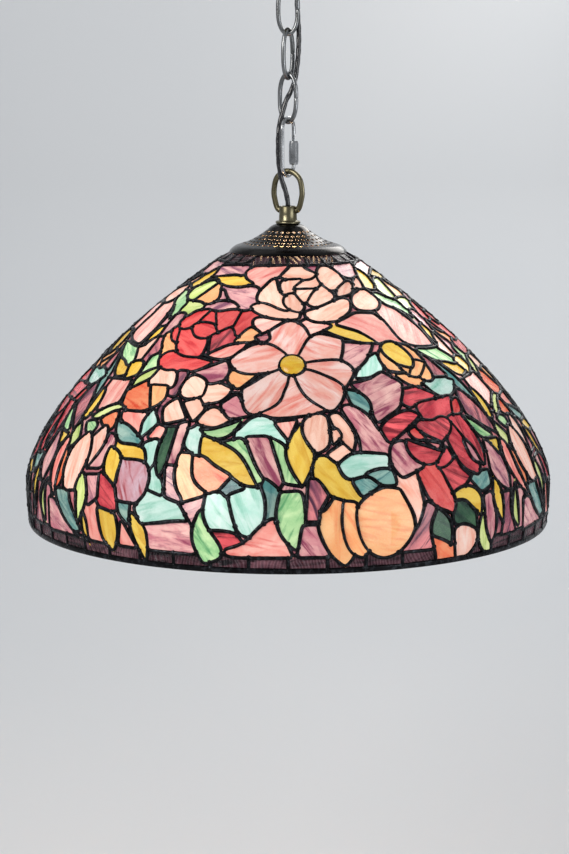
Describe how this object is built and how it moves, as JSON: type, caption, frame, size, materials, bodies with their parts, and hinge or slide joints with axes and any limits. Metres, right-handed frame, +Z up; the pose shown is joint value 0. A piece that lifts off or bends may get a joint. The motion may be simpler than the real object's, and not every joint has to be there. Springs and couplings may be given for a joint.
{
  "type": "pendant lamp",
  "caption": "Chain-hung pendant lamp with a domed leaded-glass flower shade, vented cap, lamp cluster and ceiling canopy.",
  "frame": {"origin": "middle of the crossbar's top face, where it meets the ceiling", "axes": "+Z up, the lamp hangs along -Z; -Y is the front, where one flower jewel faces the viewer"},
  "size_m": [0.5064, 0.5064, 0.5598],
  "materials": {
    "ceiling_steel": "zinc-plated steel",
    "antique_brass": "antique brass plate, darkened in the hollows",
    "pewter": "antique pewter plate over steel wire",
    "nickel": "bright nickel plate",
    "dark_bronze": "glossy dark bronze lacquer",
    "field_glass": "opalescent streaky sheet glass in pinks, reds, greens, golds and mauve, in blackened lead came",
    "border_glass": "rippled brown and purple sheet glass",
    "jewel_glass": "pressed amber glass cabochon",
    "lead_came": "solder with black patina",
    "bulb_glass": "frosted lamp glass",
    "flex": "clear-sleeved black twisted flex",
    "porcelain": "white glazed lamp-holder body",
    "black_rubber": "black bush"
  },
  "bodies": {
    "ceiling_mount": {"ceiling_crossbar": "ceiling_steel", "canopy_screw_1": "ceiling_steel", "canopy_screw_2": "ceiling_steel", "screw_lock_nut_1": "ceiling_steel", "screw_lock_nut_2": "ceiling_steel", "canopy_cap_nut_1": "antique_brass", "canopy_cap_nut_2": "antique_brass", "canopy_shell": "antique_brass", "canopy_nipple": "ceiling_steel", "canopy_lock_nut": "ceiling_steel", "canopy_loop": "antique_brass", "terminal_block": "porcelain", "supply_lead": "flex", "cord_grommet": "black_rubber", "power_cord_1": "flex"},
    "link_1": {"chain_link_1": "pewter", "power_cord_2": "flex"},
    "link_2": {"chain_link_2": "pewter", "power_cord_3": "flex"},
    "link_3": {"chain_link_3": "pewter", "power_cord_4": "flex"},
    "quick_link": {"quick_link_body": "nickel", "power_cord_5": "flex"},
    "sleeve": {"quick_link_sleeve": "nickel"},
    "ring": {"bail_ring": "antique_brass", "power_cord_6": "flex"},
    "lamp_head": {"collar": "antique_brass", "vented_cap": "dark_bronze", "centre_nipple": "ceiling_steel", "cap_lock_nut": "ceiling_steel", "shade_spider": "ceiling_steel", "spider_lock_nut": "ceiling_steel", "shade_top_ring": "antique_brass", "upper_border_band": "border_glass", "shade_section_1": "field_glass", "shade_section_2": "field_glass", "shade_section_3": "field_glass", "flower_jewel_1": "jewel_glass", "flower_jewel_2": "jewel_glass", "flower_jewel_3": "jewel_glass", "lower_border_band": "border_glass", "rim_wire": "lead_came", "cluster_cover": "dark_bronze", "cluster_body": "dark_bronze", "cluster_lock_nut": "ceiling_steel", "cluster_finial": "antique_brass", "cluster_lead": "flex", "socket_husk_1": "dark_bronze", "socket_husk_2": "dark_bronze", "socket_husk_3": "dark_bronze", "socket_1": "porcelain", "socket_2": "porcelain", "socket_3": "porcelain"},
    "bulb_1": {"bulb_base_1": "nickel", "bulb_glass_1": "bulb_glass"},
    "bulb_2": {"bulb_base_2": "nickel", "bulb_glass_2": "bulb_glass"},
    "bulb_3": {"bulb_base_3": "nickel", "bulb_glass_3": "bulb_glass"}
  },
  "joints": [
    {"name": "loop_to_link_1", "type": "hinge", "parent": "ceiling_mount", "child": "link_1", "pos_m": [0, 0, -0.05015], "axis": [0, 1, 0], "range_deg": [-15, 15], "deforming": ["power_cord_1"]},
    {"name": "link_1_to_link_2", "type": "hinge", "parent": "link_1", "child": "link_2", "pos_m": [0, 0, -0.09175], "axis": [1, 0, 0], "range_deg": [-15, 15], "deforming": ["power_cord_2"]},
    {"name": "link_2_to_link_3", "type": "hinge", "parent": "link_2", "child": "link_3", "pos_m": [0, 0, -0.13335], "axis": [0.4695, 0.8829, 0], "range_deg": [-15, 15], "deforming": ["power_cord_3"]},
    {"name": "link_3_to_quick_link", "type": "hinge", "parent": "link_3", "child": "quick_link", "pos_m": [0, 0, -0.17495], "axis": [0.829, -0.5592, 0], "range_deg": [-15, 15], "deforming": ["power_cord_4"]},
    {"name": "quick_link_to_ring", "type": "hinge", "parent": "quick_link", "child": "ring", "pos_m": [0, 0, -0.226], "axis": [0.5, 0.866, 0], "range_deg": [-15, 15], "deforming": ["power_cord_5"]},
    {"name": "ring_to_collar", "type": "hinge", "parent": "ring", "child": "lamp_head", "pos_m": [0, 0, -0.2589], "axis": [0.9063, -0.4226, 0], "range_deg": [-15, 15], "deforming": ["power_cord_6"]},
    {"name": "quick_link_sleeve_slide", "type": "slide", "parent": "quick_link", "child": "sleeve", "axis": [0, 0, 1], "range_m": [0, 0.012]},
    {"name": "bulb_1_turn", "type": "hinge", "parent": "lamp_head", "child": "bulb_1", "pos_m": [0, 0, -0.3377], "axis": [0, 0.8192, -0.5736], "range_deg": [0, 720]},
    {"name": "bulb_2_turn", "type": "hinge", "parent": "lamp_head", "child": "bulb_2", "pos_m": [0, 0, -0.3377], "axis": [-0.7094, -0.4096, -0.5736], "range_deg": [0, 720]},
    {"name": "bulb_3_turn", "type": "hinge", "parent": "lamp_head", "child": "bulb_3", "pos_m": [0, 0, -0.3377], "axis": [0.7094, -0.4096, -0.5736], "range_deg": [0, 720]}
  ]
}
